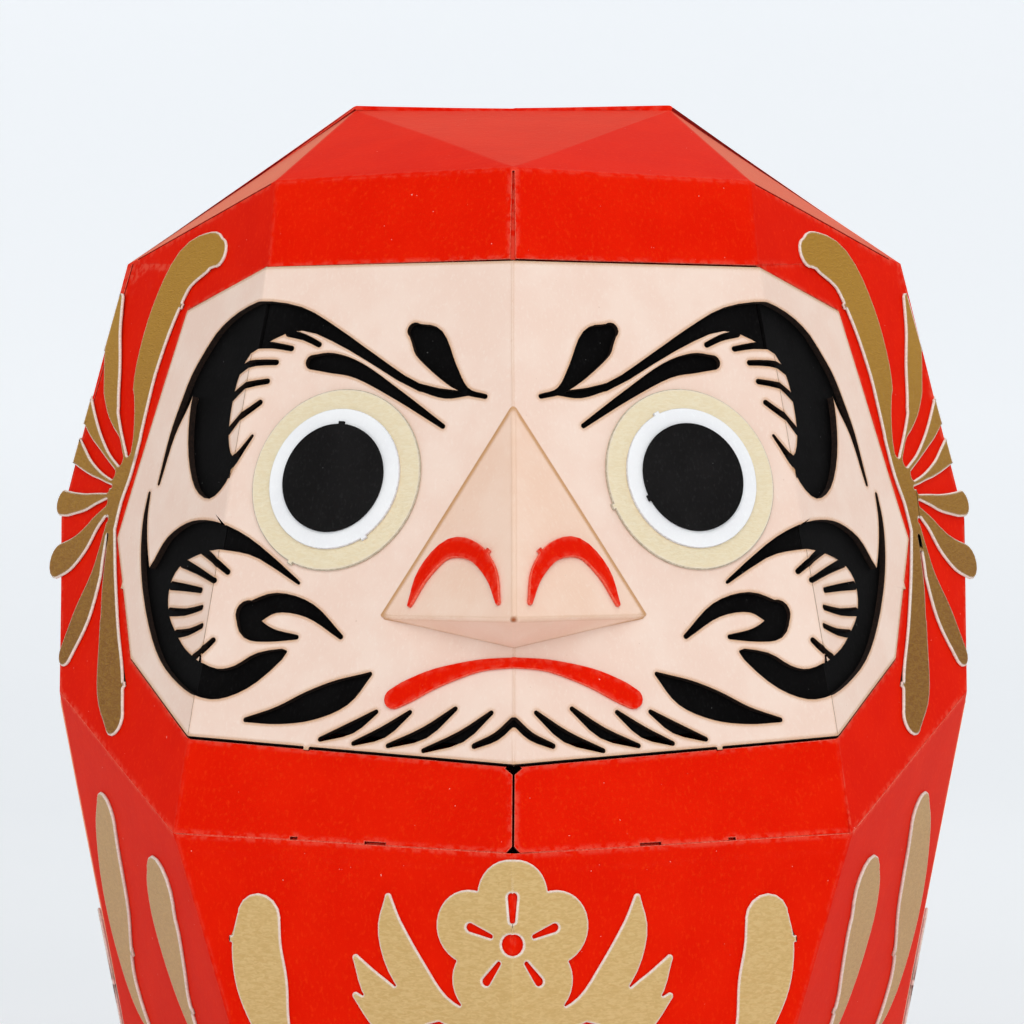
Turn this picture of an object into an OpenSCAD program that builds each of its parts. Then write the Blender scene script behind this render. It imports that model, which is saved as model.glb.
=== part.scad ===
// Daruma doll folded and glued from die-cut card.
// The doll faces -Y, +X is to the right of someone looking at its face, and +Z is up.
// The origin is on the table, under the middle of the doll.
// Pieces called left or right are named as they are seen from in front of the doll.

/* [Card] */
// Thickness of the red card of the hood and body
card_t = 0.6; // [0.4:0.05:1]
// Thickness of the cream face card
face_t = 0.8; // [0.5:0.05:1.2]
// How far the face card stands proud of the hood
face_proud = 0.2; // [0:0.05:0.4]
// Gap between the face card and the edge of the hood's opening
face_gap = 0.25; // [0.2:0.05:0.8]
// Thickness of the black card behind the face
backing_t = 0.5; // [0.3:0.05:0.8]
// Thickness of the gold and red cards glued on the outside
trim_t = 0.4; // [0.3:0.05:0.8]
// Radius that the cutter leaves in inside corners
cut_r = 0.15; // [0.05:0.05:0.3]

/* [Face] */
// Angle that each side of the face turns back from the nose line
face_yaw = 25; // [20:1:30]
// Angle that the face leans back
face_tilt = 15; // [10:1:20]
// Further fold from the front of the face to the cheek
cheek_fold = 32; // [24:1:38]
// Diameter of the gold ring of an eye
eye_ring_d = 21; // [16:0.5:23]
// Diameter of the white disc of an eye
eye_white_d = 16.2; // [12:0.2:17]
// Diameter of the black pupil
pupil_d = 12.5; // [6:0.5:14]
// Thickness of the gold ring card
ring_t = 0.4; // [0.3:0.05:0.8]
// Thickness of the white and black discs
disc_t = 0.4; // [0.3:0.05:0.7]
// How far the nose tip stands out from the chin
nose_out = 5; // [3:0.5:7]

/* [Body] */
// Width of the glue tabs
tab_w = 5; // [3:0.5:8]
// Thickness of the base plate
base_t = 1; // [0.6:0.1:2]
// How far the base plate is cut back from the lowest edge of the body
base_inset = 1; // [0.9:0.1:2]
// Width of the open seams at the top and bottom of the hood opening
seam_w = 0.25; // [0.1:0.05:0.5]
// Width that the open seam over the brow has at its lower end
rim_gap = 0.6; // [0.2:0.1:1]

/* [Hidden] */

RED = [0.88, 0.11, 0.05];
CREAM = [0.95, 0.86, 0.80];
BLACK = [0.13, 0.12, 0.12];
GOLD = [0.78, 0.64, 0.33];
PALE_GOLD = [0.95, 0.89, 0.72];
WHITE = [0.94, 0.95, 0.97];

far = 200;        // longer than the doll, for cutting tools
snug = 0.02;      // play between pieces that lie on each other
round_fn = 16;    // sides of a full turn where the cutter rounds a corner

// ---- vectors ----
function unit(v) = v / norm(v);
function flip(p) = [-p.x, p.y, p.z];
function total(v, i = 0) = i == len(v) - 1 ? v[i] : v[i] + total(v, i + 1);
function face_normal(p, f) = unit(cross(p[f[1]] - p[f[0]], p[f[2]] - p[f[0]]));
// Turns v about the unit axis k
function turned(v, k, a) = v * cos(a) + cross(k, v) * sin(a) + k * (k * v) * (1 - cos(a));

// ---- flat sheets: [origin, x axis, y axis, outward normal] ----
// The face card is drawn unfolded: x runs out from the nose line, y runs up it from the chin.
chin = [0, -50.5, 50];
fold_low = [39.9, 7];
fold_top = [30.8, 61.9];
front_n = unit([tan(face_yaw), -1, tan(face_tilt)]);
front_y = [0, sin(face_tilt), cos(face_tilt)];
front_x = cross(front_y, front_n);
front_sheet = [chin, front_x, front_y, front_n];

// 3D place of the flat point q, lifted h off the sheet s
function at(s, q, h = 0) = s[0] + q.x * s[1] + q.y * s[2] + h * s[3];

fold_dir = unit(at(front_sheet, fold_top) - at(front_sheet, fold_low));
cheek_x = turned(front_x, fold_dir, cheek_fold);
cheek_y = turned(front_y, fold_dir, cheek_fold);
cheek_n = turned(front_n, fold_dir, cheek_fold);
cheek_start = at(front_sheet, fold_low) - fold_low.x * cheek_x - fold_low.y * cheek_y;
cheek_sheet = [cheek_start, cheek_x, cheek_y, cheek_n];
// Along the cheek, square to the fold, for the bisecting cut
fold_out = unit(cross(fold_dir, front_n) + cross(fold_dir, cheek_n));

// A sheet with its own axes: x runs out from the fold and y runs up it
fan_sheet = [at(front_sheet, fold_low), cross(fold_dir, cheek_n), fold_dir, cheek_n];

// Sheet through three points, with x from a towards b
function sheet_of(a, b, c) =
    let (x = unit(b - a), n = unit(cross(b - a, c - a)))
    [a, x, cross(n, x), n];

// ---- corner points of the red card ----
// Moves p along dir onto the plane through a, b and c, so that a panel with four corners is flat
function slid(p, dir, a, b, c) = let (n = cross(b - a, c - a)) p + dir * ((a - p) * n) / (dir * n);
IN_X = [1, 0, 0];
IN_Y = [0, 1, 0];
IN_Z = [0, 0, 1];

// Face opening
brow_mid = at(front_sheet, [0, 58.3]);
brow_fold = at(front_sheet, fold_top);
face_upper = at(fan_sheet, [17.7, 52.8]);
face_wide = at(fan_sheet, [25.6, 25.8]);
face_lower = at(fan_sheet, [17.2, 10.5]);
jaw = at(front_sheet, fold_low);
chin_mid = at(front_sheet, [0, -0.3]);

// Hood: its front rim, and the seam that runs over the top and down the sides
rim_mid = at(front_sheet, [0, 69.2]);
rim_fold = at(front_sheet, [30, 72.1]);
seam_shoulder = at(fan_sheet, [34.3, 61.2]);
seam_wide = at(fan_sheet, [41.2, 30.1]);
seam_belt = at(fan_sheet, [33.8, 7.9]);
seam_top = [18.9, 7.5, 127.5];
seam_mid = [0, seam_top.y, seam_top.z];

// Collar and front of the body
collar = slid([37.9, 0, 42], IN_Y, face_lower, jaw, seam_belt);
collar_mid = slid([0, 0, 40.5], IN_Y, jaw, chin_mid, collar);
low_mid = [0, -50.5, 13];
low_front = slid([29.2, 0, 13], IN_Y, collar_mid, low_mid, collar);
low_side = slid([46.2, 0, 13], IN_Y, collar, low_front, seam_belt);
foot_mid = [0, -41.5, 0];
foot_front = slid([24.5, 0, 0], IN_Y, low_mid, foot_mid, low_front);
foot_side = slid([38, 0, 0], IN_Y, low_front, foot_front, low_side);

// Back of the head
back_wide = [55.6, 22, 77];
back_belt = slid([0, 19, 56], IN_X, seam_wide, seam_belt, back_wide);
back_shoulder = slid([0, 24, 104.5], IN_X, seam_shoulder, seam_wide, back_wide);
crown_mid = [0, 32, 125.6];
nape_mid = [0, 50, 107];

// Back of the body
low_back_side = slid([0, 23, 13], IN_X, seam_belt, low_side, back_belt);
low_back = [33, 40.4, 13];
low_back_mid = [0, 53.9, 13];
belt_back = slid([38, 0, 54], IN_Y, back_belt, low_back_side, low_back);
belt_back_mid = slid([0, 0, 52], IN_Y, belt_back, low_back, low_back_mid);
nape = slid([33, 0, 103], IN_Y, nape_mid, belt_back, belt_back_mid);
// The crown's corner is where the planes of the shoulder, the back of the head and the top meet
shoulder_n = cross(seam_shoulder - seam_top, back_shoulder - seam_top);
rear_head_n = cross(nape - nape_mid, crown_mid - nape_mid);
crown_start = slid(crown_mid, cross(rear_head_n, IN_Z), seam_top, seam_shoulder, back_shoulder);
crown = slid(crown_start, cross(shoulder_n, rear_head_n), seam_mid, seam_top, crown_mid);
foot_back_side = slid([39, 0, 0], IN_Y, low_side, foot_side, low_back_side);
foot_back = slid([27, 0, 0], IN_Y, low_back_side, foot_back_side, low_back);
foot_back_mid = slid([0, 0, 0], IN_Y, low_back, foot_back, low_back_mid);

// Right half, in the order that the facets number them
P = [
    brow_mid, brow_fold, face_upper, face_wide, face_lower, jaw, chin_mid,                 // 0 to 6
    rim_mid, rim_fold, seam_shoulder, seam_wide, seam_belt, seam_mid, seam_top,            // 7 to 13
    collar_mid, collar, low_mid, low_front, low_side, foot_mid, foot_front, foot_side,     // 14 to 21
    back_shoulder, back_wide, back_belt, crown, crown_mid, nape, nape_mid,                 // 22 to 28
    belt_back, belt_back_mid, low_back_side, low_back, low_back_mid,                       // 29 to 33
    foot_back_side, foot_back, foot_back_mid                                               // 34 to 36
];

// Facets of the right half, counter-clockwise from outside
HOOD_FRONT = [
    [7, 13, 12], [7, 8, 13], [8, 9, 13], [0, 1, 8, 7], [1, 2, 9, 8],
    [2, 3, 9], [3, 10, 9], [3, 4, 11], [3, 11, 10], [4, 5, 15, 11], [5, 6, 14, 15]
];
HOOD_BACK = [
    [12, 13, 25, 26], [13, 9, 22, 25], [9, 10, 23, 22], [10, 11, 24, 23], [26, 25, 27, 28],
    [25, 22, 27], [22, 23, 27], [23, 29, 27], [23, 24, 29], [27, 29, 30, 28]
];
BODY_FRONT = [[14, 16, 17, 15], [15, 17, 18, 11], [16, 19, 20, 17], [17, 20, 21, 18]];
BODY_BACK = [
    [11, 18, 31, 24], [24, 31, 32, 29], [29, 32, 33, 30],
    [18, 21, 34, 31], [31, 34, 35, 32], [32, 35, 36, 33]
];

// Both halves: the left points follow the right ones, and the left facets run the other way round
N = len(P);
Q = concat(P, [for (p = P) flip(p)]);
function other(i) = abs(P[i].x) < 0.001 ? i : i + N;
function triangles(fs) = [for (f = fs) for (k = [1:len(f) - 2]) [f[0], f[k], f[k + 1]]];
function both_halves(fs) = concat(
    triangles(fs),
    [for (t = triangles(fs)) [other(t[2]), other(t[1]), other(t[0])]]
);
SKIN = both_halves(concat(HOOD_FRONT, HOOD_BACK, BODY_FRONT, BODY_BACK));

// Each corner moves along one line when the card is thickened, so that pieces meet on the bisector
function seen(ns, i) = len([for (j = [0:1:i - 1]) if (ns[i] * ns[j] > 0.9999) j]) > 0;
function apart(ns) = [for (i = [0:len(ns) - 1]) if (!seen(ns, i)) ns[i]];
function miter(ns) = let (s = total(ns)) s * len(ns) / total([for (n = ns) n * s]);
MITER = [
    for (i = [0:2 * N - 1])
        let (own = [for (t = SKIN) if (t[0] == i || t[1] == i || t[2] == i) face_normal(Q, t)])
        len(own) > 0 ? miter(apart(own)) : [0, 0, 0]
];

// ---- folded card ----
// Folded sheet between the heights low and high above the skin, raised further by lift at each corner
module folded_card(facets, low, high, lift = [for (q = Q) 0]) {
    tris = both_halves(facets);
    m = len(Q);
    edges = [for (t = tris) for (k = [0:2]) [t[k], t[(k + 1) % 3]]];
    rim = [for (e = edges) if (len(search([[e[1], e[0]]], edges, 0)[0]) == 0) e];
    polyhedron(
        points = [for (level = [high, low]) for (i = [0:m - 1]) Q[i] + (level + lift[i]) * MITER[i]],
        faces = concat(
            [for (t = tris) [t[2], t[1], t[0]]],
            [for (t = tris) [t[0] + m, t[1] + m, t[2] + m]],
            [for (e = rim) [e[0], e[1], e[1] + m, e[0] + m]]
        )
    );
}

// Places a flat sheet's own x, y and normal
module on(s) {
    multmatrix([
        [s[1].x, s[2].x, s[3].x, s[0].x],
        [s[1].y, s[2].y, s[3].y, s[0].y],
        [s[1].z, s[2].z, s[3].z, s[0].z],
        [0, 0, 0, 1]
    ]) children();
}

// Flat outline cut from card that lies between two heights above the sheet
module cut_card(s, low, high) on(s) translate([0, 0, low]) linear_extrude(high - low) cut_line() children();

// The cutter rounds the inside corners
module cut_line() offset(r = -cut_r, $fn = round_fn) offset(r = cut_r, $fn = round_fn) children();

// Keeps what lies on the side of the point o that h points to
module keep(o, h) {
    side = unit(cross(h, abs(h.z) < 0.9 ? [0, 0, 1] : [1, 0, 0]));
    intersection() {
        children();
        on([o, h, side, cross(h, side)]) translate([0, -far, -far]) cube([2 * far, 2 * far, 2 * far]);
    }
}

// Left and right pieces: side is 1 for right and -1 for left
module handed(side) mirror([side < 0 ? 1 : 0, 0, 0]) children();

// ---- curves ----
// Point of a smooth curve through p at t, from 0 to len(p) - 1
function blend4(a, b, c, d, f) =
    0.5 * (2 * b + (c - a) * f + (2 * a - 5 * b + 4 * c - d) * f * f + (3 * b - a - 3 * c + d) * f * f * f);
function curve_at(p, t) =
    let (n = len(p), i = min(floor(t), n - 2))
    let (before = i > 0 ? p[i - 1] : 2 * p[0] - p[1], after = i + 2 < n ? p[i + 2] : 2 * p[n - 1] - p[n - 2])
    blend4(before, p[i], p[i + 1], after, t - i);
function loop_at(p, t) =
    let (n = len(p), i = floor(t))
    blend4(p[(i + n - 1) % n], p[i % n], p[(i + 1) % n], p[(i + 2) % n], t - i);
function flat_dir(a, b) = unit([b.x - a.x, b.y - a.y]);

// Brush stroke through the points [x, y, width], with round ends
module ribbon(p, steps = 4) {
    m = (len(p) - 1) * steps;
    c = [for (i = [0:m]) curve_at(p, i / steps)];
    d = [for (i = [0:m]) flat_dir(c[max(i - 1, 0)], c[min(i + 1, m)])];
    polygon(concat(
        [for (i = [0:m]) [c[i].x - d[i].y * c[i].z / 2, c[i].y + d[i].x * c[i].z / 2]],
        [for (i = [m:-1:0]) [c[i].x + d[i].y * c[i].z / 2, c[i].y - d[i].x * c[i].z / 2]]
    ));
    for (e = [c[0], c[m]]) translate([e.x, e.y]) circle(d = e.z, $fn = round_fn);
}

// Closed smooth outline through the points
module blob(p, steps = 3) polygon([for (i = [0:len(p) * steps - 1]) loop_at(p, i / steps)]);

// Nub where a piece was held in its sheet
module nub(x, y, turn) translate([x, y]) rotate(turn) square([0.7, 0.7], center = true);

// ---- outlines on the unfolded face, right half ----
OPENING = [
    [-1, 58.3], [0, 58.3], fold_top, [48.7, 62], [60.9, 36.6], [55.1, 20.1], fold_low, [0, -0.3], [-1, -0.3]
];
FRONT_REGION = [[-1, -5], fold_low + [3, -7], fold_low + [2, 0], fold_top + [2, 0], fold_top + [2, 8],
    [-1, 70]];
CHEEK_REGION = [
    fold_low + [-2, -7], [70, -5], [70, 75], fold_top + [-2, 8], fold_top + [-2, 0], fold_low + [-2, 0]
];

BROW = [
    [5.5, 43.2], [11.4, 45], [17, 49.2], [21.6, 52.9], [26.3, 56.1], [32, 57.6], [38, 57.4], [42.4, 55.6],
    [44.8, 51.8], [45.6, 47.5], [45.1, 42.5], [43, 38], [39.5, 35.7], [36, 36.7], [33.4, 39.9], [31.1, 43.1],
    [33.2, 40.9], [35, 39.6], [36.2, 42.2], [36, 46], [34.6, 49.8], [31.3, 52.1], [26.2, 53.3],
    [20.1, 50.1], [11.4, 44.1]
];
BROW_TAIL = [[42.6, 55, 0.8], [45, 52.4, 1.8], [46.7, 49.8, 2.1], [49.3, 46.3, 1.2], [51.6, 40.9, 0.5]];
BROW_DROP = [[12, 51.4, 1.8], [10.2, 49.6, 4], [7.9, 46, 2.4], [5.7, 43.4, 0.8], [3.3, 42.4, 0.5]];
BROW_JOIN = [[5.2, 43.1, 0.6], [8.2, 43.2, 0.7], [11.4, 44.6, 0.8]];
LID = [[24.8, 49.3, 1.7], [22.4, 48.9, 2.3], [18.9, 47.5, 1.8], [13.9, 43.9, 1.1], [8.5, 39.6, 0.5]];
BROW_TEETH = [
    [[36.2, 43, 1], [33.6, 44.2, 0.7], [31.4, 45.4, 0.6]],
    [[36, 47, 1], [33.2, 47.7, 0.7], [30.5, 47.8, 0.6]],
    [[34.8, 50, 1], [32, 50.2, 0.7], [29.4, 49.9, 0.6]],
    [[32, 52.4, 1], [29.8, 52, 0.7], [27.5, 51.3, 0.6]],
    [[27.8, 53.2, 0.9], [25.8, 52.4, 0.7], [24, 51.3, 0.6]]
];

CHEEK_CURL = [
    [53.4, 29], [51.2, 31.4], [48.5, 33.4], [44.3, 34], [40, 33.2], [35.3, 31.3], [31.2, 28.5], [25.3, 22.8],
    [31.2, 27], [35, 28.4], [39.5, 29.2], [44.1, 29.2], [46.6, 27.9], [47.2, 25.5], [46.4, 23], [44.6, 20.7],
    [42.3, 18.3], [39.1, 16.1], [36.4, 14.7], [34.1, 14.8], [31.2, 16], [27.5, 15.8], [31.2, 12.7],
    [35, 11.3],
    [38.3, 11.6], [42.9, 14.2], [47.7, 18.2], [51.2, 23.3]
];
CHEEK_TAIL = [[53.7, 40.2, 0.5], [54.2, 37, 1], [53.8, 33, 1.5], [52.6, 29, 2], [50.8, 26, 3]];
CHEEK_TEETH = [
    [[40, 29.6, 1], [37.4, 27.8, 0.8], [35.2, 25.9, 0.6]],
    [[44.4, 29.2, 1.1], [40.6, 27.2, 0.8], [36.9, 25.1, 0.6]],
    [[46.6, 27, 1], [43, 25.8, 0.8], [39.6, 24.6, 0.6]],
    [[46.6, 23.8, 1], [42.8, 22.8, 0.8], [39.1, 22.4, 0.6]],
    [[44.6, 20.6, 1], [41.6, 20.1, 0.8], [38.7, 20.1, 0.6]],
    [[40, 16.6, 1], [38.4, 17, 0.8], [36.9, 18.1, 0.6]]
];
COMMA_TOP = [[20.9, 16.7, 0.5], [24.8, 20.2, 1.6], [29, 21.6, 2.3], [32.4, 20.6, 3]];
COMMA_TAIL = [[32.6, 20.8, 3], [32, 19, 2.8], [29.6, 17.9, 1.5], [26.4, 17.3, 0.5]];
WHISKER = [[17.3, 12, 0.5], [20.6, 10.3, 3.2], [24.6, 9.2, 3.4], [28.6, 8.5, 2], [32.6, 8.4, 0.5]];
BEARD = [
    [[0, 4.8, 0.9], [2, 3.3, 0.9], [4.6, 2.5, 0.6]],
    [[2.6, 6, 0.5], [6.2, 3.7, 1.3], [10.7, 2.6, 0.5]],
    [[6.9, 6.9, 0.5], [10.6, 4.6, 1.3], [15, 3.6, 0.5]],
    [[12.4, 7.1, 0.5], [15.6, 5.2, 1.3], [19.2, 4.3, 0.5]],
    [[16.5, 7.6, 0.5], [19.5, 6.1, 1.3], [23.3, 5.2, 0.5]]
];
MOUTH = [[-1, 11.3, 1.2], [0, 11.3, 1.2], [4, 11.4, 1.4], [9, 10.6, 2.2], [12.4, 9.5, 2.6], [14.2, 8.8, 2.4]];
NOSE_SLITS = [[[6.4, 33.6], [11, 27.2]], [[4.7, 14.4], [12.4, 16.7]]];

// Black shapes that are cut right through the face card
module face_cut_outs() {
    blob(BROW);
    ribbon(BROW_TAIL);
    ribbon(BROW_DROP);
    ribbon(BROW_JOIN);
    ribbon(LID);
    blob(CHEEK_CURL);
    ribbon(CHEEK_TAIL);
    ribbon(COMMA_TOP);
    ribbon(COMMA_TAIL);
    ribbon(WHISKER);
    for (p = BROW_TEETH) ribbon(p, steps = 2);
    for (p = CHEEK_TEETH) ribbon(p, steps = 2);
    for (p = BEARD) ribbon(p, steps = 3);
    for (s = NOSE_SLITS) ribbon([[s[0].x, s[0].y, 0.25], [s[1].x, s[1].y, 0.25]], steps = 1);
}

module face_outline() {
    difference() {
        offset(delta = -face_gap) polygon(OPENING);
        face_cut_outs();
    }
    nub(25, 4.5, 10);
    nub(58.35, 30, 20);
}

module face_half() {
    low = face_proud - face_t;
    keep([0, 0, 0], [1, 0, 0]) keep(at(front_sheet, fold_low), -fold_out)
        cut_card(front_sheet, low, face_proud) intersection() { face_outline(); polygon(FRONT_REGION); }
    keep(at(front_sheet, fold_low), fold_out)
        cut_card(cheek_sheet, low, face_proud) intersection() { face_outline(); polygon(CHEEK_REGION); }
}

module face_mask() color(CREAM) for (side = [-1, 1]) handed(side) face_half();

// ---- black card behind the face ----
backing_high = face_proud - face_t - snug;
backing_seam = 0.35;    // open joint along each fold, where two black cards meet

module face_backing(side) color(BLACK) handed(side)
    cut_card(front_sheet, backing_high - backing_t, backing_high)
        polygon([
            [backing_seam, 2], fold_low + [-4, 1.5], fold_low + [-backing_seam, 4],
            fold_top + [-backing_seam, -3], fold_top + [-3, -1.5], [backing_seam, 56.5]
        ]);

module cheek_backing(side) color(BLACK) handed(side)
    cut_card(cheek_sheet, backing_high - backing_t, backing_high)
        polygon([
            fold_low + [backing_seam, 3], [53.5, 21], [59.4, 36.6], [47.8, 60.4], fold_top + [3, -1.5],
            fold_top + [backing_seam, -3]
        ]);

// ---- eyes ----
EYE = [21.6, 35];
// nub_turns: angle of the nub on the left and on the right eye
module eye_disc(side, d, low, t, shade, nub_turns) color(shade) handed(side) on(front_sheet)
    translate([EYE.x, EYE.y, low]) {
        cylinder(d = d, h = t);
        rotate(side > 0 ? nub_turns[1] : 180 - nub_turns[0])
            translate([d / 2 - 0.3, -0.35, 0]) cube([0.6, 0.7, t]);
    }

ring_low = face_proud + snug;
white_low = ring_low + ring_t + snug;
pupil_low = white_low + disc_t + snug;

module eye_ring(side) eye_disc(side, eye_ring_d, ring_low, ring_t, PALE_GOLD, [238, 205]);
module eye_white(side) eye_disc(side, eye_white_d, white_low, disc_t, WHITE, [297, 122]);
module pupil(side) eye_disc(side, pupil_d, pupil_low, disc_t, BLACK, [80, 210]);

// ---- nose and mouth ----
NOSE_TOP = [0, 41.5];
NOSE_SIDE = [16.5, 18.4];
NOSE_FOOT = [0, 12.9];
nose_rise = face_proud + snug;
nose_tip = chin + [0, -nose_out, 15.6];
nose_wall = 0.5;

function middle(p) = [0, p.y, p.z];
function nose_at(q) = at(front_sheet, q, nose_rise);

// Four-sided folded nose, open at the back
module nose() {
    outer = [nose_at(NOSE_TOP), nose_at(NOSE_SIDE), nose_at(NOSE_FOOT)];
    inner = [nose_at(NOSE_TOP - [0, 4]), nose_at(NOSE_SIDE - [1.5, 0.1]), nose_at(NOSE_FOOT + [0, 1])];
    tip_in = nose_tip + [0, 2 * nose_wall, 0.2];
    pts = [
        middle(outer[0]), outer[1], middle(outer[2]), flip(outer[1]), nose_tip,
        middle(inner[0]), inner[1], middle(inner[2]), flip(inner[1]), tip_in
    ];
    color(CREAM) polyhedron(points = pts, faces = [
        [0, 1, 4], [3, 0, 4], [1, 2, 4], [2, 3, 4],
        [6, 5, 9], [5, 8, 9], [7, 6, 9], [8, 7, 9],
        [5, 6, 1, 0], [6, 7, 2, 1], [7, 8, 3, 2], [8, 5, 0, 3]
    ]);
}

nose_sheet = sheet_of(nose_tip, nose_at(NOSE_SIDE), middle(nose_at(NOSE_TOP)));
NOSTRIL = [[3.2, 2, 0.6], [5.8, 5.4, 1.6], [9.8, 8, 2.1], [14.1, 8.3, 2.6], [16.6, 5.4, 2.2],
    [17.2, 1.6, 0.7]];
module nostril(side) color(RED) handed(side)
    cut_card(nose_sheet, snug, snug + trim_t) {
        ribbon(NOSTRIL);
        nub(7.6, 8, 30);
    }

module mouth() color(RED) for (side = [-1, 1]) handed(side) keep([0, 0, 0], [1, 0, 0])
    cut_card(front_sheet, face_proud + snug, face_proud + snug + trim_t) ribbon(MOUTH);

// ---- gold fans on the sides of the hood ----
HUB = [[27.7, 26.6, 1.6], [27.8, 30.5, 3], [27, 34, 4], [26, 38, 3.6]];
FAN_LEAVES = [
    [[26.2, 37, 3.6], [25.8, 42, 4], [25.7, 47, 5.6], [24, 53, 6.6], [20.6, 58, 6.6],
     [15.2, 59.4, 5.2], [12.8, 59, 3.6]],
    [[27.6, 36.6, 2], [30.6, 39.6, 2.6], [32.9, 42.3, 3.3], [34.6, 47.4, 3.8], [36, 52, 3.4],
     [36, 56.6, 1.6]],
    [[28.4, 35, 2], [32.8, 37.9, 3], [36, 40, 3.6], [38.8, 42.4, 3.6], [40.6, 44.2, 2.4]],
    [[28.6, 33.4, 2], [34, 35.4, 2.6], [39, 37.6, 3], [42.6, 39.2, 2.6]],
    [[29, 31.4, 1.8], [34, 31.3, 2.4], [38.4, 31.4, 3], [41.4, 31.9, 3.4]],
    [[29.2, 29.8, 1.6], [32.8, 27.7, 2.6], [34.8, 26.2, 3.4], [37.4, 25, 4.2], [40.2, 24.5, 4.4]],
    [[28.8, 27.4, 1.6], [29.6, 22.2, 2.4], [31.6, 17.2, 4.2], [34.2, 12.6, 3.2]],
    [[27.6, 27, 1.4], [26.2, 20.8, 3], [24, 14, 4.4], [21.6, 8, 5.8], [19, 3.6, 4]]
];
fan_shift = [-0.8, -0.1];
FAN_GAPS = [
    [[25.8, 36.4, 1.3], [26.3, 37.8, 2.2], [27.5, 40.4, 3.3], [28.6, 42.6, 3.8]],
    [[27.6, 35.5, 1.4], [29.6, 37.4, 2.5], [31.5, 38.9, 2.4], [33.7, 41, 2.3], [35.6, 43.4, 2.5],
     [37.4, 46, 2.8]],
    [[28.9, 33.9, 1.2], [31.6, 35.3, 1.7], [34.7, 37.2, 1.9], [37, 38.9, 1.6], [39.8, 41.2, 1.6]],
    [[29.6, 32.2, 1], [32.1, 32.8, 1.6], [35.1, 33.4, 2.2], [38.3, 34.2, 2.7], [42, 35.2, 3]],
    [[29.5, 30.5, 0.9], [32.1, 29.8, 1.5], [34.8, 28.9, 2.3], [39.4, 28.5, 2.8]],
    [[28.9, 28.2, 1.1], [29.8, 26.8, 2.2], [30.7, 25, 3]],
    [[27.6, 26.2, 0.5], [27.6, 23.3, 0.5], [27.3, 20.8, 0.6], [26.9, 18.4, 0.9], [26.6, 16, 1.5]]
];

module fan_outline() difference() {
    translate(fan_shift) {
        ribbon(HUB);
        for (leaf = FAN_LEAVES) ribbon(leaf);
        ribbon_nub(FAN_LEAVES[0], 3.4, 1);
        ribbon_nub(FAN_LEAVES[7], 3.4, -1);
    }
    for (gap = FAN_GAPS) ribbon(gap);
}

// The upper leaves bend back over the head seam, and the others run straight past it
SEAM_MID = [41.2, 30.1];
SEAM_TOP = [34.3, 61.2];
leaf_turn = 26;
// Along the seam to the gap between the straight leaves and the bent ones
SEAM_GAP = SEAM_MID + 0.16 * (SEAM_TOP - SEAM_MID);
overlap = [0.05, 0];
// The flat part goes on past the bend until its top meets the top of the bent part
past_bend = [trim_t * tan(leaf_turn / 2), 0];

module fan_part(s, region) cut_card(s, snug, snug + trim_t) intersection() { fan_outline(); polygon(region); }

// The sheet s turned back about the line through its flat points a and b
function bent_sheet(s, a, b, turn) =
    let (o = at(s, a), k = unit(at(s, b) - o), x = turned(s[1], k, turn), y = turned(s[2], k, turn))
    [o - a.x * x - a.y * y, x, y, cross(x, y)];

module side_fan(side) color(GOLD) handed(side) {
    fan_part(fan_sheet, [
        [5, 0], [60, 0], [60, SEAM_GAP.y],
        SEAM_GAP + past_bend, SEAM_TOP + past_bend, SEAM_TOP + [-8, 8], [0, 70]
    ]);
    fan_part(bent_sheet(fan_sheet, SEAM_MID, SEAM_TOP, leaf_turn), [
        SEAM_GAP - overlap, [60, SEAM_GAP.y], SEAM_TOP + [9, 0], SEAM_TOP - overlap
    ]);
}

// ---- gold stripes and chest ornament ----
front_panel = sheet_of(low_mid, low_front, collar_mid);
side_panel = sheet_of(low_front, low_side, collar);
rear_panel = sheet_of(low_side, low_back_side, seam_belt);

FRONT_STRIPE = [
    [30.3, 19.9, 5.4], [30.7, 16.5, 6.3], [30.2, 12.4, 6.5], [29.3, 8.4, 4.9], [27.9, 5, 3], [26.4, 1.6, 0.8]
];
SIDE_STRIPE = [
    [15.2, 23, 8.2], [16.4, 21, 9.2], [17.1, 18, 9.4], [17.6, 13.5, 7.4], [17.5, 10, 4.8], [16.4, 6.6, 2.7],
    [15, 3.6, 0.8]
];
OUTER_STRIPE = [
    [31.2, 31.2, 5.8], [33.8, 27.6, 8], [36.5, 22, 9.4], [38.8, 17, 7.8], [39.8, 12, 5], [38.9, 8, 3.2],
    [36.6, 4.6, 0.8]
];
REAR_STRIPE = [[8.6, 16.2, 4], [8.8, 13.6, 5.8], [8.6, 10.2, 5.8], [8.2, 6.6, 4.2], [7.6, 2.8, 0.8]];

// Nub on the edge of a ribbon, at t along it: edge is 1 for its left side and -1 for its right side
module ribbon_nub(p, t, edge) {
    c = curve_at(p, t);
    d = flat_dir(curve_at(p, t - 0.01), curve_at(p, t + 0.01));
    nub(c.x - edge * d.y * c.z / 2, c.y + edge * d.x * c.z / 2, atan2(d.y, d.x));
}

module stripe(side, s, p, nub_t, nub_edge) color(GOLD) handed(side) cut_card(s, snug, snug + trim_t) {
    ribbon(p);
    ribbon_nub(p, nub_t, nub_edge);
}

module front_stripe(side) stripe(side, front_panel, FRONT_STRIPE, 0.8, 1);
module side_stripe(side) stripe(side, side_panel, SIDE_STRIPE, 4.6, -1);
module outer_stripe(side) stripe(side, side_panel, OUTER_STRIPE, 3.4, -1);
module rear_stripe(side) stripe(side, rear_panel, REAR_STRIPE, 2.4, -1);

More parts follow.
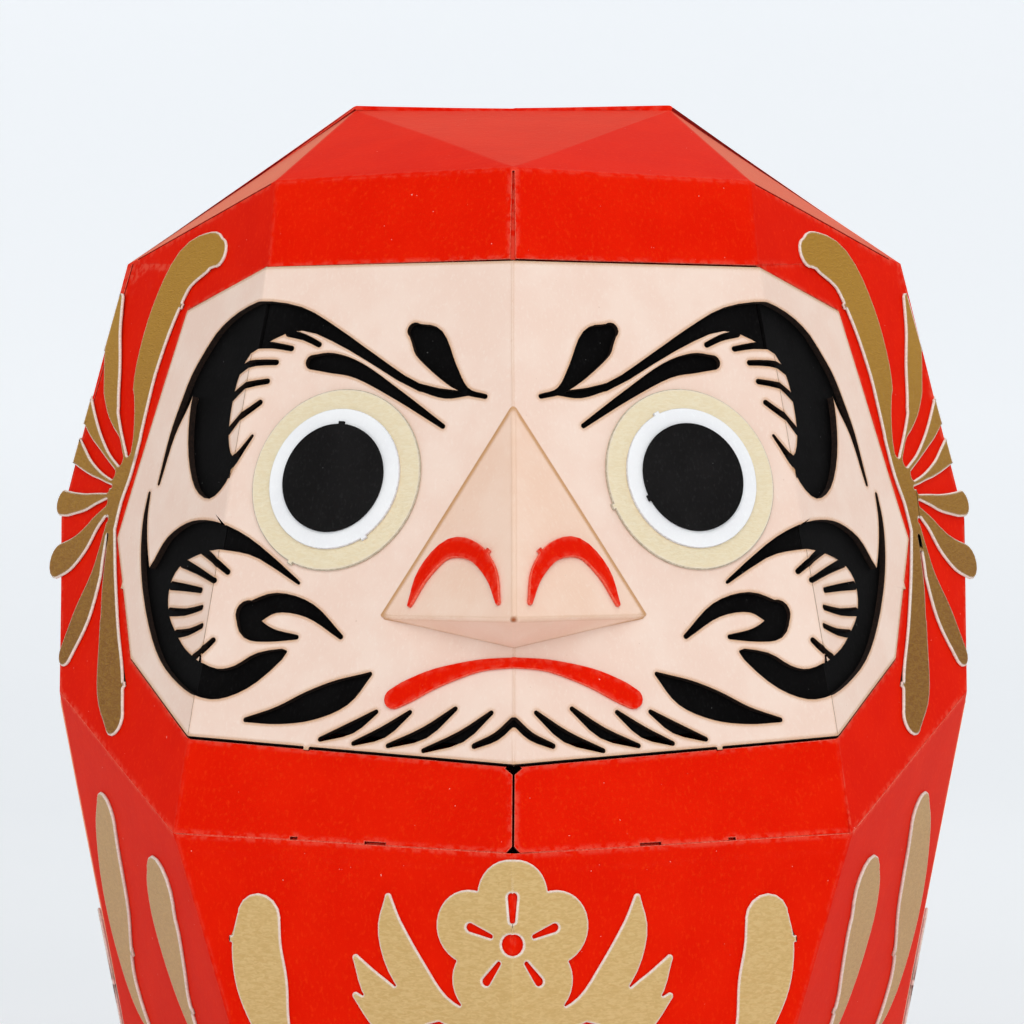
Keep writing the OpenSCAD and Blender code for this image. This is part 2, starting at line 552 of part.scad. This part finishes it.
// Plum blossom over two leaf sprays, folded along the middle of the chest
petal_r = 4.1;
petal_ring = 5.2;
stamen_ring = 2.6;
stamen_long = 2.6;
BLOSSOM = [0, 17.7];
SPRAYS = [
    [[-1, 9, 1.4], [4, 8.8, 2], [8.6, 10.2, 3], [12.4, 13.8, 4.4], [14.6, 18.2, 3.4], [15, 22, 0.8]],
    [[8.4, 9.6, 1.6], [12.6, 9.4, 3], [16.4, 11.6, 3.4], [19, 15, 0.8]],
    [[-1, 5.2, 1.4], [3, 5, 2.2], [7.6, 5.4, 3.6], [12, 6.4, 3.8], [16, 8.4, 2.6], [19, 10.8, 0.8]],
    [[-1, 2, 1], [2.6, 2, 2], [6, 2.2, 2.6], [9.6, 3.2, 2], [12.6, 4.6, 0.8]]
];

module blossom_outline() {
    difference() {
        translate(BLOSSOM) {
            for (i = [0:4]) rotate(90 + 72 * i) translate([petal_ring, 0]) circle(r = petal_r, $fn = 32);
            circle(r = petal_ring, $fn = 32);
        }
        translate(BLOSSOM) {
            for (i = [0:4]) rotate(90 + 72 * i)
                ribbon([[stamen_ring, 0, 0.5], [stamen_ring + stamen_long, 0, 1]], steps = 1);
            circle(r = 1.2, $fn = round_fn);
        }
    }
    translate([-1, 1.6]) square([2, 12]);
    for (p = SPRAYS) ribbon(p);
}

// Sheet of the chest with its y axis on the middle line
chest_sheet = let (n = front_panel[3], y = unit(collar_mid - low_mid)) [low_mid, cross(y, n), y, n];

module blossom_emblem() color(GOLD) for (side = [-1, 1]) handed(side) keep([0, 0, 0], [1, 0, 0])
    cut_card(chest_sheet, snug, snug + trim_t) blossom_outline();

// ---- hood, body and base ----
// Glue tab: its root lies in the panel that the edge a-b bounds, and its flap under the next panel.
// own and next are the flap's lowest and highest levels under the two panels.
module tab(a, b, n_own, n_next, own, next) {
    along = unit(b - a);
    out = cross(along, n_own);
    into = cross(along, n_next);
    fold = miter([n_own, n_next]);
    ends = 2.5;
    root = 2;
    a1 = a + ends * along;
    b1 = b - ends * along;
    function layer(i) = [
        a1 - root * out + own[i] * n_own, b1 - root * out + own[i] * n_own,
        b1 + next[i] * fold, b1 + tab_w * (into - along) + next[i] * n_next,
        a1 + tab_w * (into + along) + next[i] * n_next, a1 + next[i] * fold
    ];
    polyhedron(
        points = concat(layer(1), layer(0)),
        faces = concat(
            [[0, 1, 2, 5], [5, 2, 3, 4], [11, 8, 7, 6], [10, 9, 8, 11]],
            [for (k = [0:5]) [(k + 1) % 6, k, k + 6, (k + 1) % 6 + 6]]
        )
    );
}

// Tabs along the edges [a, b, own facet, next facet], on both sides of the doll
module tabs(list, own, next) for (side = [-1, 1]) handed(side) for (e = list)
    tab(P[e[0]], P[e[1]], face_normal(P, e[2]), face_normal(P, e[3]), own, next);

// The root is joined to its own card, and the flap steps down under the next one
ROOT_LEVEL = [-2 * card_t + 0.2, -card_t + 0.2];
FLAP_LEVEL = [-2 * card_t - snug, -card_t - snug];

HOOD_TABS = [
    [9, 13, HOOD_FRONT[2], HOOD_BACK[1]],
    [10, 9, HOOD_FRONT[6], HOOD_BACK[2]],
    [11, 10, HOOD_FRONT[8], HOOD_BACK[3]]
];
COLLAR_TABS = [[15, 14, BODY_FRONT[0], HOOD_FRONT[10]], [11, 15, BODY_FRONT[1], HOOD_FRONT[9]]];
SIDE_TABS = [[18, 11, BODY_FRONT[1], BODY_BACK[0]]];
BELT_TABS = [
    [24, 11, BODY_BACK[0], HOOD_BACK[3]],
    [29, 24, BODY_BACK[1], HOOD_BACK[8]],
    [30, 29, BODY_BACK[2], HOOD_BACK[9]]
];
FOOT_EDGES = [
    [20, 19, BODY_FRONT[2]], [21, 20, BODY_FRONT[3]], [34, 21, BODY_BACK[3]], [35, 34, BODY_BACK[4]],
    [36, 35, BODY_BACK[5]]
];

// Seam between two points on the middle line, as deep as depth, with a worn notch at each end
notch_w = 1.3;
rim_depth = 0.42;
module seam_cut(low, high, low_w, depth, notch) {
    dir = unit(high - low);
    long = norm(high - low);
    on([low, IN_X, dir, cross(IN_X, dir)]) translate([0, 0, -depth]) linear_extrude(depth + 2)
        polygon([[-low_w / 2, 0], [low_w / 2, 0], [seam_w / 2, long], [-seam_w / 2, long]]);
    for (end = notch ? [low, high] : []) on([end, IN_X, dir, cross(IN_X, dir)])
        rotate(45) cube([notch_w, notch_w, 4], center = true);
}

// Half-cut line along the fold from a to b
SCORE_N = unit(face_normal(P, HOOD_FRONT[2]) + face_normal(P, HOOD_FRONT[4]));
score_w = 0.3;
score_depth = 0.3;
score_end = 1.2;
module score_line(a, b, n) on([(a + b) / 2, unit(b - a), cross(n, unit(b - a)), n])
    cube([norm(b - a) - 2 * score_end, score_w, 2 * score_depth], center = true);

// Slots along the collar's lower crease: [place along the crease, length]
COLLAR_SLOTS = [[0.4, 2.6], [0.64, 0.9]];
slot_h = 0.35;
module collar_slots() for (side = [-1, 1]) handed(side) for (slot = COLLAR_SLOTS) {
    edge = collar - collar_mid;
    n = face_normal(P, HOOD_FRONT[10]);
    on([collar_mid + slot[0] * edge, unit(edge), cross(n, unit(edge)), n])
        cube([slot[1], 2 * slot_h, 4], center = true);
}

module hood_front() color(RED) {
    difference() {
        folded_card(HOOD_FRONT, -card_t, 0);
        seam_cut(brow_mid, rim_mid - [0, 0, 0.4], rim_gap, rim_depth, false);
        seam_cut(collar_mid, chin_mid, seam_w, 2, true);
        collar_slots();
        for (side = [-1, 1]) handed(side) score_line(rim_fold, seam_shoulder, SCORE_N);
    }
    tabs(HOOD_TABS, ROOT_LEVEL, FLAP_LEVEL);
}

// The edge of the back of the hood stands proud over the crown, and is level with the front at the sides
crown_lift = 0.6;
crown_mid_lift = 0.3;
LIFT = [
    for (i = [0:2 * N - 1])
        i % N == 12 || i % N == 26 ? crown_mid_lift : i % N == 13 || i % N == 25 ? crown_lift : 0
];

module hood_back() color(RED) folded_card(HOOD_BACK, -card_t, 0, LIFT);

module body_front() color(RED) {
    folded_card(BODY_FRONT, -card_t, 0);
    tabs(COLLAR_TABS, ROOT_LEVEL, FLAP_LEVEL);
    tabs(SIDE_TABS, ROOT_LEVEL, FLAP_LEVEL);
}

module body_back() color(RED) {
    folded_card(BODY_BACK, -card_t, 0);
    tabs(BELT_TABS, ROOT_LEVEL, FLAP_LEVEL);
}

FOOT = [foot_mid, foot_front, foot_side, foot_back_side, foot_back, foot_back_mid];
module base_plate() color(RED) {
    linear_extrude(base_t) offset(delta = -base_inset)
        polygon(concat([for (p = FOOT) [p.x, p.y]], [for (i = [4:-1:1]) [-FOOT[i].x, FOOT[i].y]]));
    for (side = [-1, 1]) handed(side) for (e = FOOT_EDGES)
        tab(P[e[0]], P[e[1]], [0, 0, -1], face_normal(P, e[2]), [-base_t + 0.1, -0.1], FLAP_LEVEL);
}

hood_front();
hood_back();
body_front();
body_back();
base_plate();
face_mask();
face_backing(-1);  // face_backing_left
face_backing(1);  // face_backing_right
cheek_backing(-1);  // cheek_backing_left
cheek_backing(1);  // cheek_backing_right
eye_ring(-1);  // eye_ring_left
eye_ring(1);  // eye_ring_right
eye_white(-1);  // eye_white_left
eye_white(1);  // eye_white_right
pupil(-1);  // pupil_left
pupil(1);  // pupil_right
nose();
nostril(-1);  // nostril_left
nostril(1);  // nostril_right
mouth();
side_fan(-1);  // side_fan_left
side_fan(1);  // side_fan_right
blossom_emblem();
front_stripe(-1);  // front_stripe_left
front_stripe(1);  // front_stripe_right
side_stripe(-1);  // side_stripe_left
side_stripe(1);  // side_stripe_right
outer_stripe(-1);  // outer_stripe_left
outer_stripe(1);  // outer_stripe_right
rear_stripe(-1);  // rear_stripe_left
rear_stripe(1);  // rear_stripe_right
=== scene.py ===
"""Looks of the folded card daruma doll, built around its CAD frame."""

import math

import bmesh
import bpy
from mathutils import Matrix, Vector, noise


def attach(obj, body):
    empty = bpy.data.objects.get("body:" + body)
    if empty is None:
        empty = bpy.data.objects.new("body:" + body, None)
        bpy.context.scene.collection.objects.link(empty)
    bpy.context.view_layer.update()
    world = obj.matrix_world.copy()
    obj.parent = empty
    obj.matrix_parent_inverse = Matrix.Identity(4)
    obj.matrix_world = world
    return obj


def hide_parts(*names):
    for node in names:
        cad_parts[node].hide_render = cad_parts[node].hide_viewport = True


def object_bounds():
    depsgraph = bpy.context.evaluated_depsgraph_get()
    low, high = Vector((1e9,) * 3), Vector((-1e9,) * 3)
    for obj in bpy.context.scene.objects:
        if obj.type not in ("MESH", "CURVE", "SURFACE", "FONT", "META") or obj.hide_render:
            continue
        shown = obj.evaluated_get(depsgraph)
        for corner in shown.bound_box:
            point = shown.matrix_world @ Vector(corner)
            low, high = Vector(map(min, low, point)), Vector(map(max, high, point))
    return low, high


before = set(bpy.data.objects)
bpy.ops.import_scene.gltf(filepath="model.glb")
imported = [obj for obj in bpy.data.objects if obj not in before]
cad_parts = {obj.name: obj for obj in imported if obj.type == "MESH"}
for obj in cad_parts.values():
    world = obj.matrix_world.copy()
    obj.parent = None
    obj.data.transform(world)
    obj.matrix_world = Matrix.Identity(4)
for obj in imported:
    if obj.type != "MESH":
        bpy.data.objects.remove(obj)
cad_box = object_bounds()

MM = 0.001
SIDES = ("left", "right")


# ---- colours ----
def rgb(r, g, b):
    """Linear colour with alpha from 0-255 screen values."""
    return tuple(
        c / 12.92 if c <= 0.04045 else ((c + 0.055) / 1.055) ** 2.4
        for c in (r / 255, g / 255, b / 255)
    ) + (1.0,)


# ---- shader nodes ----
class Shade:
    """A material with short calls that add nodes and join them."""

    def __init__(self, name):
        self.material = bpy.data.materials.new(name)
        self.material.use_nodes = True
        self.tree = self.material.node_tree
        self.shader = self.tree.nodes["Principled BSDF"]
        self.place = self.add("ShaderNodeTexCoord").outputs["Object"]

    def add(self, kind, **settings):
        node = self.tree.nodes.new(kind)
        for key, value in settings.items():
            setattr(node, key, value)
        return node

    def feed(self, socket, value):
        if isinstance(value, bpy.types.NodeSocket):
            self.tree.links.new(value, socket)
        else:
            socket.default_value = value

    def math(self, operation, a, b=0.0, clamp=False):
        node = self.add("ShaderNodeMath", operation=operation, use_clamp=clamp)
        self.feed(node.inputs[0], a)
        self.feed(node.inputs[1], b)
        return node.outputs[0]

    def vector(self, operation, a, b):
        node = self.add("ShaderNodeVectorMath", operation=operation)
        self.feed(node.inputs[0], a)
        self.feed(node.inputs[1], b)
        return node

    def mix(self, share, a, b):
        node = self.add("ShaderNodeMix", data_type="RGBA")
        self.feed(node.inputs["Factor"], share)
        self.feed(node.inputs[6], a)
        self.feed(node.inputs[7], b)
        return node.outputs[2]

    def noise(self, size_mm, detail=2.0, rough=0.5, distortion=0.0, stretch=(1, 1, 1)):
        """Noise from 0 to 1 whose lumps are about size_mm across."""
        node = self.add("ShaderNodeTexNoise")
        scaled = self.vector("MULTIPLY", self.place, stretch).outputs[0]
        self.feed(node.inputs["Vector"], scaled)
        node.inputs["Scale"].default_value = 1 / (size_mm * MM)
        node.inputs["Detail"].default_value = detail
        node.inputs["Roughness"].default_value = rough
        node.inputs["Distortion"].default_value = distortion
        return node.outputs["Fac"]

    def between(self, value, low, high, smooth=True):
        """0 below low, 1 above high."""
        node = self.add("ShaderNodeMapRange", interpolation_type="SMOOTHSTEP" if smooth else "LINEAR")
        self.feed(node.inputs["Value"], value)
        node.inputs["From Min"].default_value = low
        node.inputs["From Max"].default_value = high
        return node.outputs["Result"]

    def near_edge(self, radius_mm, low=0.02, high=0.3):
        """1 at the edges and folds of the piece, 0 further than radius_mm from them."""
        bevel = self.add("ShaderNodeBevel", samples=6)
        bevel.inputs["Radius"].default_value = radius_mm * MM
        normal = self.add("ShaderNodeNewGeometry").outputs["Normal"]
        same = self.vector("DOT_PRODUCT", bevel.outputs["Normal"], normal).outputs["Value"]
        return self.between(self.math("SUBTRACT", 1.0, same), low, high)

    def near_point(self, point, radius_mm):
        """1 at the point, 0 further than radius_mm from it."""
        away = self.vector("DISTANCE", self.place, tuple(point)).outputs["Value"]
        return self.between(away, radius_mm * MM, 0.4 * radius_mm * MM)

    def bump(self, height, distance_mm, strength=1.0, under=None):
        node = self.add("ShaderNodeBump")
        node.inputs["Strength"].default_value = strength
        node.inputs["Distance"].default_value = distance_mm * MM
        self.feed(node.inputs["Height"], height)
        if under is not None:
            self.feed(node.inputs["Normal"], under)
        return node.outputs["Normal"]

    def set(self, **values):
        for key, value in values.items():
            self.feed(self.shader.inputs[key.replace("_", " ")], value)


def card_shade(name, base, light, dark, specks=None, wear_and_highlight=None, rough=0.6, sheen=0.0, tint=None):
    """Felted card: fibres, mottling, stray light fibres, and pale rubbed folds and edges that are partly wear and
    partly painted highlight.
    """
    s = Shade(name)
    fibre = s.noise(0.35, detail=3, rough=0.65, stretch=(1, 1, 0.6))
    mottle = s.noise(7, detail=3, rough=0.55)
    colour = s.mix(s.between(mottle, 0.38, 0.66), dark, base)
    colour = s.mix(s.math("MULTIPLY", s.between(fibre, 0.5, 0.78), 0.55), colour, light)
    if specks:
        stray = s.between(s.noise(0.42, detail=1, rough=0.4), specks[1], specks[1] + 0.03)
        colour = s.mix(s.math("MULTIPLY", stray, specks[2]), colour, specks[0])
    # Pale folds and edges: partly rubbed card, partly a painted highlight along the edges.
    if wear_and_highlight:
        rub_and_highlight = s.math("MULTIPLY", s.near_edge(wear_and_highlight[1], 0.004, 0.026), s.between(s.noise(0.9, detail=4), 0.38, 0.6))
        colour = s.mix(s.math("MULTIPLY", rub_and_highlight, wear_and_highlight[2]), colour, wear_and_highlight[0])
    felt = s.bump(s.noise(1.1, detail=3, rough=0.6), 0.05, 0.35)
    s.set(Base_Color=colour, Roughness=rough, Normal=s.bump(fibre, 0.02, 0.5, felt))
    s.shader.inputs["Specular IOR Level"].default_value = 0.02 if sheen else 0.06
    if sheen:
        s.shader.inputs["Sheen Weight"].default_value = sheen
        s.shader.inputs["Sheen Roughness"].default_value = 0.17
        s.shader.inputs["Sheen Tint"].default_value = tint
    return s


def edge_shade(name, base, other, size_mm=0.3):
    """Cut edge of a card: the core's own colour, unevenly scorched."""
    s = Shade(name)
    grain = s.noise(size_mm, detail=3, rough=0.7)
    s.set(Base_Color=s.mix(s.between(grain, 0.35, 0.65), base, other), Roughness=0.9)
    s.set(Normal=s.bump(grain, 0.04, 0.6))
    s.shader.inputs["Specular IOR Level"].default_value = 0.15
    return s.material


def red_shade():
    return card_shade(
        "red_card", rgb(230, 27, 2), rgb(240, 56, 14), rgb(226, 23, 1),
        # Its pale edge colour is partly wear and partly a painted highlight on the edges.
        specks=(rgb(248, 190, 176), 0.81, 0.6), wear_and_highlight=(rgb(238, 104, 80), 1.0, 0.42),
        sheen=1.0, tint=rgb(255, 200, 162),
    ).material


def cream_shade(name, base, light, dark, scorch_point=None):
    s = card_shade(
        name, base, light, dark,
        specks=(rgb(190, 150, 120), 0.8, 0.35), rough=0.6,
    )
    colour = s.shader.inputs["Base Color"].links[0].from_socket
    halo = s.math("MULTIPLY", s.near_edge(1.0, 0.035, 0.1), 0.85)
    colour = s.mix(halo, colour, rgb(194, 140, 84))
    if scorch_point is not None:
        colour = s.mix(s.near_point(scorch_point, 0.9), colour, rgb(150, 72, 20))
    s.set(Base_Color=colour)
    return s.material


def gold_shade(name, base, other, metallic, rough, low=None):
    """Embossed gold foil paper, with its white core showing along the cut; low is a darker tone towards the bottom
    of the doll, painted shade.
    """
    s = Shade(name)
    grain = s.noise(0.6, detail=3, rough=0.55, distortion=0.9, stretch=(0.75, 0.75, 2.2))
    tone = s.math("MULTIPLY", s.between(grain, 0.34, 0.68), 0.8)
    # Painted shade: the colour darkens from base towards low lower down on the doll.
    if low is not None:
        height = s.add("ShaderNodeSeparateXYZ")
        s.feed(height.inputs[0], s.place)
        base = s.mix(s.between(height.outputs["Z"], 60 * MM, 110 * MM), low, base)
        other = s.mix(0.25, base, other)
    colour = s.mix(tone, base, other)
    pale = s.math("MULTIPLY", s.near_edge(0.5, 0.04, 0.11), 0.9)
    s.set(Base_Color=s.mix(pale, colour, rgb(232, 218, 206)))
    s.set(Metallic=s.math("MULTIPLY", s.math("SUBTRACT", 1.0, pale), metallic), Roughness=rough)
    s.set(Normal=s.bump(s.noise(0.2, detail=2), 0.01, 0.4, s.bump(grain, 0.09, 0.6)))
    return s.material


def black_shade(name, tone):
    return card_shade(
        name, rgb(tone, tone - 1, tone - 1), rgb(tone + 16, tone + 15, tone + 15), rgb(tone - 5, tone - 6, tone - 6),
        specks=(rgb(120, 118, 116), 0.8, 0.5), rough=0.7,
    ).material


def white_shade():
    return card_shade(
        "white_card", rgb(243, 243, 243), rgb(249, 250, 250), rgb(238, 238, 239), rough=0.6,
    ).material


# ---- meshes ----
JOIN = 1e-6
GRID = 4 * MM
BOW = 0.16 * MM       # how far the card bows
BOW_SPAN = 34 * MM


def bow(p):
    """Small smooth shift that every piece shares, so that the pieces stay on each other."""
    wave = noise.noise_vector(p / BOW_SPAN + Vector((3.1, 7.7, 1.3)))
    ripple = noise.noise_vector(p / (0.32 * BOW_SPAN))
    return BOW * wave + 0.16 * BOW * ripple


WALL, SKIN, EASED = 0, 1, 2    # what a face of a piece is


def is_skin_like(face):
    co = [v.co for v in face.verts]
    span = max(max(c[i] for c in co) - min(c[i] for c in co) for i in range(3))
    area = face.calc_area()
    return area > 7 * MM * MM and area / span > 1.05 * MM


def is_seam_floor(face):
    """The bottom of a groove on the middle line looks straight ahead, as no panel does."""
    return face.normal.y < -0.9 and abs(face.normal.x) < 0.02


def finish_piece(name, node, shades, fold=0.28, chamfer=0.05, smooth_walls=30):
    """New piece from a CAD node, with soft folds, eased cuts and a slight bow.

    shades are the materials of its skin, of its cut walls and, if there is a third, of the eased edge.
    """
    bm = bmesh.new()
    bm.from_mesh(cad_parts[node].data)
    bmesh.ops.remove_doubles(bm, verts=bm.verts, dist=JOIN)
    bmesh.ops.dissolve_limit(bm, angle_limit=math.radians(0.4), verts=bm.verts, edges=bm.edges)
    bm.normal_update()
    skin = bm.faces.layers.int.new("skin")
    normals = []
    for f in bm.faces:
        if is_skin_like(f) and not any(f.normal.dot(n) > 0.9998 for n in normals):
            normals.append(f.normal.copy())
    for f in bm.faces:
        f[skin] = SKIN if is_seam_floor(f) or any(f.normal.dot(n) > 0.9997 for n in normals) else WALL

    def edges_between(test):
        return [e for e in bm.edges if len(e.link_faces) == 2 and test(e)]

    folds = edges_between(
        lambda e: e.link_faces[0][skin] and e.link_faces[1][skin] and e.calc_face_angle(0) > math.radians(0.9)
        and e.calc_length() > 0.8 * MM
    )
    if fold and folds:
        made = bmesh.ops.bevel(
            bm, geom=folds, offset=fold * MM, offset_type="OFFSET", segments=3, profile=0.5,
            affect="EDGES", clamp_overlap=False,
        )
        for f in made["faces"]:
            f[skin] = SKIN
    cuts = edges_between(lambda e: e.link_faces[0][skin] != e.link_faces[1][skin] and e.is_convex)
    if chamfer and cuts:
        made = bmesh.ops.bevel(
            bm, geom=cuts, offset=chamfer * MM, offset_type="OFFSET", segments=1, profile=0.5,
            affect="EDGES", clamp_overlap=False,
        )
        for f in made["faces"]:
            f[skin] = EASED
    low = [min(v.co[i] for v in bm.verts) for i in range(3)]
    high = [max(v.co[i] for v in bm.verts) for i in range(3)]
    for axis in range(3):
        step = Vector((0, 0, 0))
        step[axis] = 1
        at = GRID * (math.floor(low[axis] / GRID) + 0.5)
        while at < high[axis]:
            if at > low[axis]:
                bmesh.ops.bisect_plane(
                    bm, geom=bm.verts[:] + bm.edges[:] + bm.faces[:], dist=JOIN, plane_co=step * at, plane_no=step
                )
            at += GRID
    for v in bm.verts:
        v.co += bow(v.co)
    bm.normal_update()
    for f in bm.faces:
        f.smooth = True
        f.material_index = {SKIN: 0, WALL: 1, EASED: len(shades) - 1}[f[skin]]
    for e in bm.edges:
        if len(e.link_faces) == 2:
            a, b = e.link_faces
            angle = e.calc_face_angle(0)
            if a[skin] != b[skin]:
                e.smooth = False
            elif a[skin]:
                e.smooth = angle < math.radians(40)
            else:
                e.smooth = angle < math.radians(smooth_walls)
    mesh = bpy.data.meshes.new(name)
    bm.to_mesh(mesh)
    bm.free()
    for shade in shades:
        mesh.materials.append(shade)
    piece = bpy.data.objects.new(name, mesh)
    bpy.context.scene.collection.objects.link(piece)
    weighted = piece.modifiers.new("panel_normals", "WEIGHTED_NORMAL")
    weighted.keep_sharp = True
    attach(piece, "root")
    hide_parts(node)
    return piece


# ---- materials ----
RED = red_shade()
RED_CUT = edge_shade("red_card_cut", rgb(96, 12, 8), rgb(140, 20, 12))
# Pale pink eased edges of the red card: partly its rubbed core, partly a painted highlight on the edge.
RED_EDGE = edge_shade("red_card_edge", rgb(224, 62, 42), rgb(238, 108, 86))
RED_TRIM_CUT = edge_shade("red_trim_cut", rgb(238, 110, 88), rgb(222, 70, 50))
CREAM = cream_shade("cream_card", rgb(242, 217, 201), rgb(246, 226, 212), rgb(239, 210, 193))
CREAM_CUT = edge_shade("cream_card_cut", rgb(44, 30, 23), rgb(26, 19, 16))
BLACK = black_shade("black_card", 24)
DEEP_BLACK = black_shade("backing_card", 8)
WHITE = white_shade()
WHITE_CUT = edge_shade("white_card_cut", rgb(228, 228, 232), rgb(206, 204, 206))
# Front gold: a paler copy of the gold card, painted with the reflection of the bright front lights.
FRONT_LIT_GOLD = gold_shade("gold_card", rgb(204, 168, 104), rgb(220, 188, 128), 0.28, 0.42)
# Side gold: a darker copy of the gold card, painted shade for the stripes turned away from the front lights.
SIDE_SHADED_GOLD = gold_shade("side_shaded_gold_card", rgb(182, 134, 56), rgb(198, 151, 76), 0.28, 0.42)
# The fan gold darkens towards the bottom of the doll as painted shade.
FAN_GOLD = gold_shade("fan_gold_card", rgb(206, 150, 40), rgb(226, 176, 62), 0.97, 0.4, low=rgb(146, 92, 0))
GOLD_CUT = edge_shade("gold_card_cut", rgb(240, 226, 214), rgb(222, 206, 192))
PALE_GOLD = gold_shade("pale_gold_card", rgb(244, 226, 188), rgb(250, 236, 205), 0.4, 0.4)
PALE_GOLD_CUT = edge_shade("pale_gold_card_cut", rgb(176, 164, 140), rgb(206, 196, 176))

nose_tip = min((v.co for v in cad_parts["nose"].data.vertices), key=lambda c: c.y).copy()
# Nose card: a warmer copy of the cream card, painted with red light bounced from the mouth; the brown mark at its
# tip is a real scorch.
NOSE_WITH_RED_BOUNCE = cream_shade("nose_card", rgb(244, 213, 192), rgb(248, 223, 205), rgb(241, 206, 183), nose_tip)

# ---- pieces ----
for part in ("hood_front", "hood_back", "body_front", "body_back", "base_plate"):
    finish_piece(part + "_card", part, [RED, RED_CUT, RED_EDGE], chamfer=0.09)
finish_piece("face_card", "face_mask", [CREAM, CREAM_CUT], fold=0.35, chamfer=0.04)
finish_piece("nose_card", "nose", [NOSE_WITH_RED_BOUNCE, CREAM_CUT], fold=0.35)
finish_piece("mouth_card", "mouth", [RED, RED_TRIM_CUT], chamfer=0.09)
finish_piece("blossom_card", "blossom_emblem", [FRONT_LIT_GOLD, GOLD_CUT], chamfer=0.14)
for side in SIDES:
    for part in ("face_backing", "cheek_backing"):
        finish_piece(f"{part}_{side}_card", f"{part}_{side}", [DEEP_BLACK, DEEP_BLACK])
    finish_piece(f"eye_ring_{side}_card", f"eye_ring_{side}", [PALE_GOLD, PALE_GOLD_CUT], chamfer=0.1)
    finish_piece(f"eye_white_{side}_card", f"eye_white_{side}", [WHITE, WHITE_CUT], chamfer=0.06)
    finish_piece(f"pupil_{side}_card", f"pupil_{side}", [BLACK, BLACK], chamfer=0.06)
    finish_piece(f"nostril_{side}_card", f"nostril_{side}", [RED, RED_TRIM_CUT], chamfer=0.09)
    finish_piece(f"side_fan_{side}_card", f"side_fan_{side}", [FAN_GOLD, GOLD_CUT], chamfer=0.14)
    finish_piece(f"front_stripe_{side}_card", f"front_stripe_{side}", [FRONT_LIT_GOLD, GOLD_CUT], chamfer=0.14)
    for part in ("side_stripe", "outer_stripe", "rear_stripe"):
        finish_piece(f"{part}_{side}_card", f"{part}_{side}", [SIDE_SHADED_GOLD, GOLD_CUT], chamfer=0.14)


# ---- stage, light and camera ----
def bowl_floor():
    """Pale floor that rises all round into a pale wall, glowing as painted light, more strongly away from the doll.
    """
    s = Shade("glowing_stage_paper")
    tone = s.noise(400, detail=2)
    s.set(Base_Color=s.mix(tone, rgb(240, 243, 246), rgb(244, 246, 248)), Roughness=0.95)
    # Painted light: the stage glows, faintly near the doll and more strongly further out.
    s.shader.inputs["Emission Color"].default_value = rgb(240, 244, 248)
    away = s.vector("DISTANCE", s.place, (0, 0, 0)).outputs["Value"]
    glow = s.between(away, 0.38, 2.5, smooth=False)
    s.set(Emission_Strength=s.math("ADD", s.math("MULTIPLY", glow, 0.39), 0.04))
    profile = [(0.0, 0.0), (1.3, 0.0)]
    profile += [
        (1.3 + 1.9 * math.sin(math.radians(a)), 0.9 * (1 - math.cos(math.radians(a)))) for a in range(6, 85, 6)
    ]
    turns = 96
    verts, faces = [(0.0, 0.0, 0.0)], []
    for r, z in profile[1:]:
        verts += [
            (r * math.cos(2 * math.pi * k / turns), r * math.sin(2 * math.pi * k / turns), z) for k in range(turns)
        ]
    for k in range(turns):
        faces.append((0, 1 + k, 1 + (k + 1) % turns))
    for ring in range(len(profile) - 2):
        a, b = 1 + ring * turns, 1 + (ring + 1) * turns
        for k in range(turns):
            faces.append((a + k, b + k, b + (k + 1) % turns, a + (k + 1) % turns))
    mesh = bpy.data.meshes.new("stage")
    mesh.from_pydata(verts, [], faces)
    mesh.materials.append(s.material)
    for f in mesh.polygons:
        f.use_smooth = True
    stage = bpy.data.objects.new("stage", mesh)
    bpy.context.scene.collection.objects.link(stage)


def area_light(name, place, size, power, colour=(1, 1, 1)):
    light = bpy.data.lights.new(name, "AREA")
    light.shape = "RECTANGLE"
    light.size, light.size_y = size
    light.energy = power
    light.color = colour
    lamp = bpy.data.objects.new(name, light)
    lamp.location = place
    target = (cad_box[0] + cad_box[1]) / 2
    lamp.rotation_mode = "QUATERNION"
    lamp.rotation_quaternion = (target - Vector(place)).to_track_quat("-Z", "Y")
    lamp.visible_camera = False
    bpy.context.scene.collection.objects.link(lamp)


bowl_floor()
area_light("key_softbox", (0.0, -1.5, 1.0), (1.8, 1.0), 14)
area_light("top_softbox", (0.45, 0.5, 1.5), (1.4, 1.4), 10)

world = bpy.data.worlds.new("studio")
world.use_nodes = True
world.node_tree.nodes["Background"].inputs["Color"].default_value = rgb(246, 248, 250)
world.node_tree.nodes["Background"].inputs["Strength"].default_value = 0.45
bpy.context.scene.world = world
bpy.context.scene.view_settings.view_transform = "Standard"

camera = bpy.data.objects.new("camera", bpy.data.cameras.new("camera"))
camera.data.lens = 175.8
camera.data.sensor_width = 36
camera.data.clip_start, camera.data.clip_end = 0.05, 20
camera.location = (0.0, -0.5945, 0.0636)
camera.rotation_euler = (math.radians(90 + 1.466), 0, math.radians(0.012))
bpy.context.scene.collection.objects.link(camera)
bpy.context.scene.camera = camera

bpy.context.view_layer.update()
